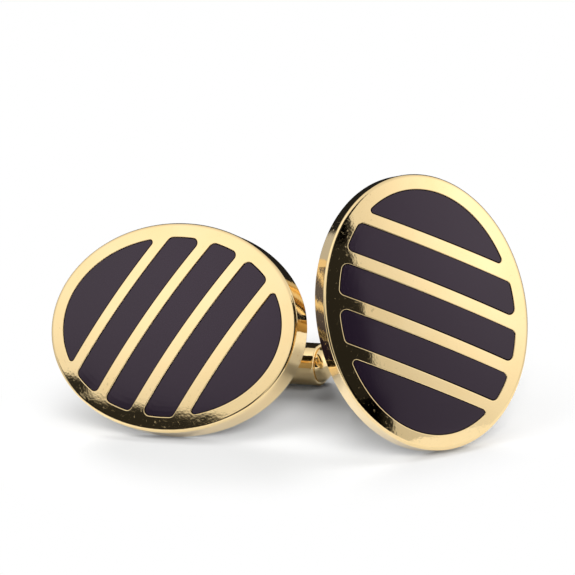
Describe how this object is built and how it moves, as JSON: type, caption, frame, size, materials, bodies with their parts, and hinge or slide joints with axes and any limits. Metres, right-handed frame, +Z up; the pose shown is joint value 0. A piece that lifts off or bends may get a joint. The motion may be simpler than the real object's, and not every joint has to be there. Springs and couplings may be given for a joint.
{
  "type": "cufflink pair",
  "caption": "Matching pair of gilt cufflinks with domed oval faces, slanting polished bars between dark enamel cells, and a swivel bar on each post that folds in line for threading.",
  "frame": {"origin": "middle of the pair's footprint, on the surface that the pair rests on", "axes": "+Z up; +X along the pair, from the one that lies on its bar to the one that stands on its end; the faces look towards -Y"},
  "size_m": [0.0312, 0.0254, 0.0177],
  "materials": {
    "gilt_brass": "polished gold plating",
    "enamel": "gloss, opaque",
    "spring_steel": "bare"
  },
  "bodies": {
    "left_cufflink": {"left_face_plate": "gilt_brass", "left_enamel_1": "enamel", "left_enamel_2": "enamel", "left_enamel_3": "enamel", "left_enamel_4": "enamel", "left_enamel_5": "enamel", "left_post": "gilt_brass"},
    "left_toggle": {"left_toggle_tube": "gilt_brass", "left_domed_cap": "gilt_brass", "left_slotted_cap": "gilt_brass", "left_pivot_pin": "gilt_brass", "left_leaf_spring": "spring_steel"},
    "right_cufflink": {"right_face_plate": "gilt_brass", "right_enamel_1": "enamel", "right_enamel_2": "enamel", "right_enamel_3": "enamel", "right_enamel_4": "enamel", "right_enamel_5": "enamel", "right_post": "gilt_brass"},
    "right_toggle": {"right_toggle_tube": "gilt_brass", "right_domed_cap": "gilt_brass", "right_slotted_cap": "gilt_brass", "right_pivot_pin": "gilt_brass", "right_leaf_spring": "spring_steel"}
  },
  "joints": [
    {"name": "left_toggle_swivel", "type": "hinge", "parent": "left_cufflink", "child": "left_toggle", "pos_m": [-0.00246, 0.00921, 0.00143], "axis": [0.2037, 0.3997, 0.8937], "range_deg": [0, 90], "deforming": ["left_leaf_spring"]},
    {"name": "right_toggle_swivel", "type": "hinge", "parent": "right_cufflink", "child": "right_toggle", "pos_m": [0.00471, 0.00179, 0.00566], "axis": [-0.9317, -0.3633, 0], "range_deg": [0, 90], "deforming": ["right_leaf_spring"]},
    {"name": "right_lift", "type": "slide", "parent": "left_cufflink", "child": "right_cufflink", "axis": [0, 0, 1], "range_m": [0, 0.03]}
  ]
}
